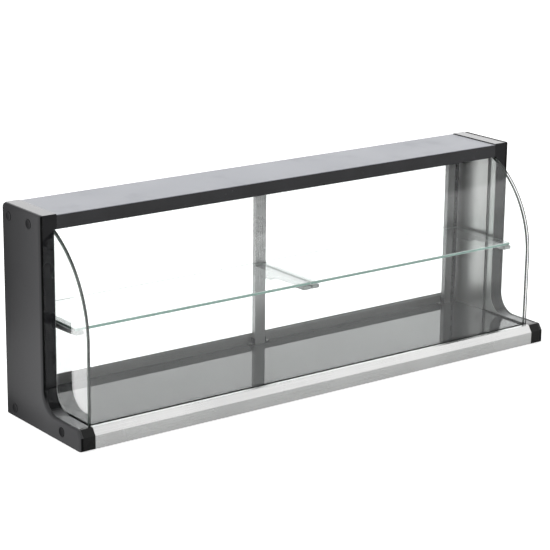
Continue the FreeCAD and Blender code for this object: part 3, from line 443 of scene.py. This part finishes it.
def front_glass_piece():
    """Front pane: upright below, one constant bend above, seamed edges."""
    lo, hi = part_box("front_glass")
    thick, arris, half = FRONT_THICK, FRONT_ARRIS, hi[0]
    centre = Vector((0, lo[1] + BEND_RADIUS, BEND_RISE))
    rows = [(Vector((0, lo[1], z)), Vector((0, -1, 0))) for z in (lo[2], *UPRIGHT_ROWS)]
    for step in range(BEND_STEPS + 1):
        turn = BEND_SWEEP * step / BEND_STEPS
        outward = Vector((0, -math.cos(turn), math.sin(turn)))
        rows.append((centre + outward * BEND_RADIUS, outward))
    section = [(-half + arris, 0), (half - arris, 0), (half, arris), (half, thick - arris),
               (half - arris, thick), (-half + arris, thick), (-half, thick - arris),
               (-half, arris)]
    # The left end edge takes the painted dark edge, the bevels the painted dark arris.
    finishes = [FACE, BEVELLED, FACE, BEVELLED, FACE, BEVELLED, DARK, BEVELLED]
    bm = bmesh.new()
    rings = [[bm.verts.new(spot - outward * depth + Vector((x, 0, 0))) for x, depth in section]
             for spot, outward in rows]
    count = len(section)
    for lower, upper in zip(rings, rings[1:]):
        for k in range(count):
            n = (k + 1) % count
            face = bm.faces.new((lower[k], lower[n], upper[n], upper[k]))
            face.material_index = finishes[k]
    bm.faces.new(rings[0][::-1]).material_index = BEVELLED
    bm.faces.new(rings[-1]).material_index = BEVELLED
    bmesh.ops.recalc_face_normals(bm, faces=bm.faces)
    materials = [MATERIALS["clear_glass"], EDGE_TEAL_LIT, ARRIS_SHADED, EDGE_SHADED]
    add_piece("front_glass_pane", bm, "case", materials, ("front_glass",),
              GLASS_SHARP)


def lathe(bm, profile, place, axis, sides, corners_of=()):
    """Closed turned shape: profile is (radius, height) from the centre of one end to the other.

    corners_of maps a profile index to a corner count, for rings that are polygons.
    """
    turn = Vector((0, 0, 1)).rotation_difference(Vector(axis)).to_matrix()
    rings = []
    for number, (radius, height) in enumerate(profile):
        if radius == 0:
            rings.append([bm.verts.new(Vector(place) + turn @ Vector((0, 0, height)))])
            continue
        corners = dict(corners_of).get(number)
        ring = []
        for k in range(sides):
            angle = 2 * math.pi * k / sides
            reach = radius
            if corners:
                wedge = 2 * math.pi / corners
                reach *= math.cos(wedge / 2) / math.cos((angle % wedge) - wedge / 2)
            spot = Vector((reach * math.cos(angle), reach * math.sin(angle), height))
            ring.append(bm.verts.new(Vector(place) + turn @ spot))
        rings.append(ring)
    for one, two in zip(rings, rings[1:]):
        for k in range(sides):
            n = (k + 1) % sides
            if len(one) == 1:
                bm.faces.new((one[0], two[n], two[k]))
            elif len(two) == 1:
                bm.faces.new((one[k], one[n], two[0]))
            else:
                bm.faces.new((one[k], one[n], two[n], two[k]))


def islands(name):
    """Box of every separate solid in a CAD node, as (low, high) corners."""
    bm = cad_copy(name)
    seen, boxes = set(), []
    for start in bm.verts:
        if start in seen:
            continue
        stack, group = [start], []
        seen.add(start)
        while stack:
            vert = stack.pop()
            group.append(vert.co.copy())
            for edge in vert.link_edges:
                other = edge.other_vert(vert)
                if other not in seen:
                    seen.add(other)
                    stack.append(other)
        boxes.append((Vector([min(p[n] for p in group) for n in range(3)]),
                      Vector([max(p[n] for p in group) for n in range(3)])))
    bm.free()
    return boxes


# Turned parts, in metres. CAP_RIM and PAD_TOP are (inset from the outer radius, drop from the
# top), PAD_FOOT is (inset, height); the rest are (radius, height). CAP_HUB is a share of radius.
CAP_SHOULDER = 0.0005
CAP_RIM = ((0.0002, 0.0002), (0.0007, 0), (0.0016, 0), (0.0024, 0.0003), (0.004, 0.00062),
           (0.006, 0.0008))
CAP_HUB, CAP_HUB_DROP, CAP_CENTRE_DROP = 0.2, 0.00088, 0.0009
PAD_SOCKET = ((0, 0.0032), (0.0052, 0.0032), (0.0056, 0.0006), (0.0062, 0.0001), (0.0068, 0))
PAD_FOOT = ((0.0032, 0), (0.0022, 0.0003), (0.0016, 0.001))
PAD_TOP = ((0.0006, 0.0016), (0.0001, 0.0008), (0, 0))
PAD_SCREW = ((0, 0.0012), (0.0016, 0.0012), (0.0017, 0), (0.0036, 0.0001), (0.0041, 0.0006),
             (0.0042, 0.0022), (0.005, 0.0023), (0.005, 0.0028), (0, 0.0028))
PAD_SCREW_RISE = 0.0004
DECK_SCREW = ((0, 0), (0.0075, 0), (0.0075, 0.0008), (0.0042, 0.0008), (0.0042, 0.0016),
              (0.0037, 0.0026), (0.0024, 0.0031), (0.0017, 0.0031), (0.0016, 0.0014), (0, 0.0014))
DECK_SCREW_X = (-0.46, -0.28, -0.1, 0.1, 0.28, 0.46)
CHANNEL_WEB = 0.0015
HEX = 6
CAP_SIDES, PAD_SIDES, SCREW_SIDES = 48, 56, 36


def screw_caps(side):
    """Dished snap-in caps over the end cover's fixing screws."""
    name = side + "_screw_covers"
    out = -1 if side == "left" else 1
    bm = bmesh.new()
    for low, high in islands(name):
        radius = (high.y - low.y) / 2
        tall = high.x - low.x
        middle = (low + high) / 2
        base = Vector((high.x if side == "left" else low.x, middle.y, middle.z))
        profile = [(0, 0), (radius, 0), (radius, tall - CAP_SHOULDER)]
        profile += [(radius - inset, tall - drop) for inset, drop in CAP_RIM]
        profile += [(radius * CAP_HUB, tall - CAP_HUB_DROP), (0, tall - CAP_CENTRE_DROP)]
        lathe(bm, profile, base, (out, 0, 0), CAP_SIDES)
    bmesh.ops.recalc_face_normals(bm, faces=bm.faces)
    add_piece(side + "_screw_caps", bm, "case", [MATERIALS["plug_black"]], (name,))


def foot_pads():
    """Turned rubber feet with a recessed washer and a socket screw."""
    pads, screws = bmesh.new(), bmesh.new()
    for low, high in islands("rubber_feet"):
        radius = (high.x - low.x) / 2
        tall = high.z - low.z
        centre = Vector(((low.x + high.x) / 2, (low.y + high.y) / 2, low.z))
        profile = list(PAD_SOCKET)
        profile += [(radius - inset, height) for inset, height in PAD_FOOT]
        profile += [(radius - inset, tall - drop) for inset, drop in PAD_TOP]
        profile.append((0, tall))
        lathe(pads, profile, centre, (0, 0, 1), PAD_SIDES)
        seat = centre + Vector((0, 0, PAD_SCREW_RISE))
        lathe(screws, PAD_SCREW, seat, (0, 0, 1), SCREW_SIDES, {1: HEX, 2: HEX})
    for bm in (pads, screws):
        bmesh.ops.recalc_face_normals(bm, faces=bm.faces)
    add_piece("foot_pads", pads, "case", [MATERIALS["foot_rubber"]],
              ("rubber_feet",))
    add_piece("foot_screws", screws, "case", [MATERIALS["screw_zinc"]])


def deck_screws():
    """Pan-head screws that hold the deck down, seen inside the chassis channels."""
    bm = bmesh.new()
    beams = [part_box("front_beam"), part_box("rear_beam")]
    for x in DECK_SCREW_X:
        for lo, hi in beams:
            spot = (x, (lo[1] + hi[1]) / 2, hi[2] - CHANNEL_WEB)
            lathe(bm, DECK_SCREW, spot, (0, 0, -1), SCREW_SIDES, {7: HEX, 8: HEX})
    bmesh.ops.recalc_face_normals(bm, faces=bm.faces)
    add_piece("deck_screws", bm, "case", [MATERIALS["screw_zinc"]])


def shelf_edges(side):
    """Edge picker for a shelf, in painted light and shade: green in front, dark at the outer end,
    pale elsewhere.
    """
    out = -1 if side == "left" else 1

    def pick(normal):
        if normal.y < -ALONG_AXIS:
            return TEAL
        return DARK if normal.x * out > ALONG_AXIS else PALE
    return pick


def end_pane_edges(normal):
    """Edge picker for an end pane: painted dark where it faces the front or the back, else clear.
    """
    return BEVELLED if abs(normal.y) > 0.3 else FACE


def clear_edges(normal):
    """Edge picker for a door: every edge is as clear as the pane."""
    return FACE


def make_pieces():
    """The pieces that replace CAD nodes or are added to the case."""
    front_glass_piece()
    for side in ("left", "right"):
        glass_piece(side + "_side_glass", "clear_glass", "case", end_pane_edges,
                    pane=SIDE_PANES[side])
        glass_piece(side + "_shelf_glass", "shelf_glass", side + "_shelf", shelf_edges(side),
                    seam=SEAM_LIT)
        glass_piece(side + "_door_glass", "door_glass", side + "_door", clear_edges)
        screw_caps(side)
    foot_pads()
    deck_screws()


SOFT_WIDTH, SOFT_STEPS, SOFT_ANGLE = 0.0003, 2, math.radians(32)


def dress_nodes():
    """Soft edges and a finish for every node of the frame."""
    for name, node in NODES.items():
        slot = node.data.materials[0].name
        node.data.materials[0] = NODE_FINISHES.get(name, MATERIALS[slot])
        weld = node.modifiers.new("weld", "WELD")
        weld.merge_threshold = MERGE_GAP
        flat = node.modifiers.new("flat", "DECIMATE")
        flat.decimate_type = "DISSOLVE"
        flat.angle_limit = FLAT_ANGLE
        soft = node.modifiers.new("soft", "BEVEL")
        soft.width = SOFT_WIDTH
        soft.segments = SOFT_STEPS
        soft.limit_method = "ANGLE"
        soft.angle_limit = SOFT_ANGLE
        soft.use_clamp_overlap = True
        even = node.modifiers.new("even", "WEIGHTED_NORMAL")
        even.keep_sharp = False


# ---------------------------------------------------------------- studio
FLOOR_REACH = 40
FLOOR_GLOW, FLOOR_MIRRORED = 0.6, 0.05
WALL, REAR_LIFT, FRONT_LIFT, CEILING_CUT = 1.1, 0.9, 0.3, 0.68
# Components of a world direction at which each of these begins and is full.
FRONT_TURN, FRONT_RISE = (0.1, -0.1), (0.40, 0.50)
REAR_TURN, REAR_RISE = (0.1, 0.5), (0.4, 0.34)
CEILING_RISE = (0.69, 0.72)
# Enough for light to pass through every pane that stands in a row.
LIGHT_BOUNCES = 24
# Lamps: place, target, size in metres, power in watts.
OVERHEAD = (-1.4, 1.9, 2.8), (-1.2, 1.9, 0), (3.0, 3.0), 40
LEFT_PANEL = (-0.90, 0.30, 0.01), (-0.90, 0.30, 1.0), (0.5, 0.6), 2.3


def make_floor():
    """Pale floor, seen through from below; it gives less light to mirrored rays than to direct."""
    mesh = bpy.data.meshes.new("floor")
    far = FLOOR_REACH
    mesh.from_pydata([(-far, -far, 0), (far, -far, 0), (far, far, 0), (-far, far, 0)], [],
                     [(0, 1, 2, 3)])
    floor = bpy.data.objects.new("floor", mesh)
    bpy.context.scene.collection.objects.link(floor)
    material, g = new_material("floor_white")
    tone = g.blend(g.noise((2, 2, 2), 3), rgb(0.86, 0.86, 0.86), rgb(0.88, 0.88, 0.88))
    path = g.add("LightPath")
    bounced = g.math("MULTIPLY", path.outputs["Is Glossy Ray"],
                     g.math("SUBTRACT", 1.0, path.outputs["Is Transmission Ray"]))
    glow = g.add("Mix", {"Factor": bounced, "A": FLOOR_GLOW, "B": FLOOR_MIRRORED})
    paint = g.add("BsdfPrincipled", {"Base Color": tone, "Roughness": 0.9,
                                     "Specular IOR Level": 0.1,
                                     "Emission Color": rgb(1, 1, 1),
                                     "Emission Strength": glow.outputs[0]})
    clear = g.add("BsdfTransparent")
    mix = g.add("MixShader", {0: g.add("NewGeometry").outputs["Backfacing"]})
    g.feed(mix.inputs[1], paint.outputs[0])
    g.feed(mix.inputs[2], clear.outputs[0])
    finish_surface(g, mix.outputs[0])
    mesh.materials.append(material)


def make_world():
    """White studio: walls brighter low behind and high in front, and a dim ceiling."""
    world = bpy.data.worlds.new("studio")
    bpy.context.scene.world = world
    world.use_nodes = True
    g = Graph(world.node_tree)
    way = g.add("SeparateXYZ", {0: g.add("TexCoord").outputs["Generated"]})
    turn, rise = way.outputs["Y"], way.outputs["Z"]
    low = g.spread(rise, *FRONT_RISE)
    high = g.spread(rise, *CEILING_RISE)
    front = g.spread(turn, *FRONT_TURN)
    band = g.math("MULTIPLY", g.math("MULTIPLY", low, front), FRONT_LIFT)
    rear = g.math("MULTIPLY", g.spread(turn, *REAR_TURN), g.spread(rise, *REAR_RISE))
    wall = g.math("ADD", g.math("ADD", WALL, g.math("MULTIPLY", rear, REAR_LIFT)), band)
    ceiling = g.math("SUBTRACT", 1.0, g.math("MULTIPLY", high, CEILING_CUT))
    power = g.math("MULTIPLY", wall, ceiling)
    back = g.add("Background", {"Color": rgb(1, 1, 1), "Strength": power})
    out = g.add("OutputWorld")
    g.feed(out.inputs["Surface"], back.outputs[0])


def area_light(name, place, target, size, power, mirrored=False):
    """Soft panel, not seen directly; a mirrored one is seen in reflections and lights nothing."""
    data = bpy.data.lights.new(name, "AREA")
    data.shape = "RECTANGLE"
    data.size, data.size_y = size
    data.energy = power
    lamp = bpy.data.objects.new(name, data)
    lamp.location = place
    aim = Vector(target) - Vector(place)
    lamp.rotation_mode = "QUATERNION"
    lamp.rotation_quaternion = aim.to_track_quat("-Z", "Y")
    lamp.visible_camera = False
    lamp.visible_transmission = False
    lamp.visible_glossy = mirrored
    lamp.visible_diffuse = not mirrored
    bpy.context.scene.collection.objects.link(lamp)


def make_lights():
    """One soft lamp over the back, and a panel for the left end pane to mirror."""
    area_light("overhead", *OVERHEAD)
    area_light("left_panel", *LEFT_PANEL, mirrored=True)


make_camera()
make_world()
make_floor()
make_lights()
dress_nodes()
make_pieces()

scene = bpy.context.scene
scene.view_settings.view_transform = "Standard"
scene.cycles.max_bounces = LIGHT_BOUNCES
scene.cycles.transmission_bounces = LIGHT_BOUNCES
scene.cycles.transparent_max_bounces = LIGHT_BOUNCES
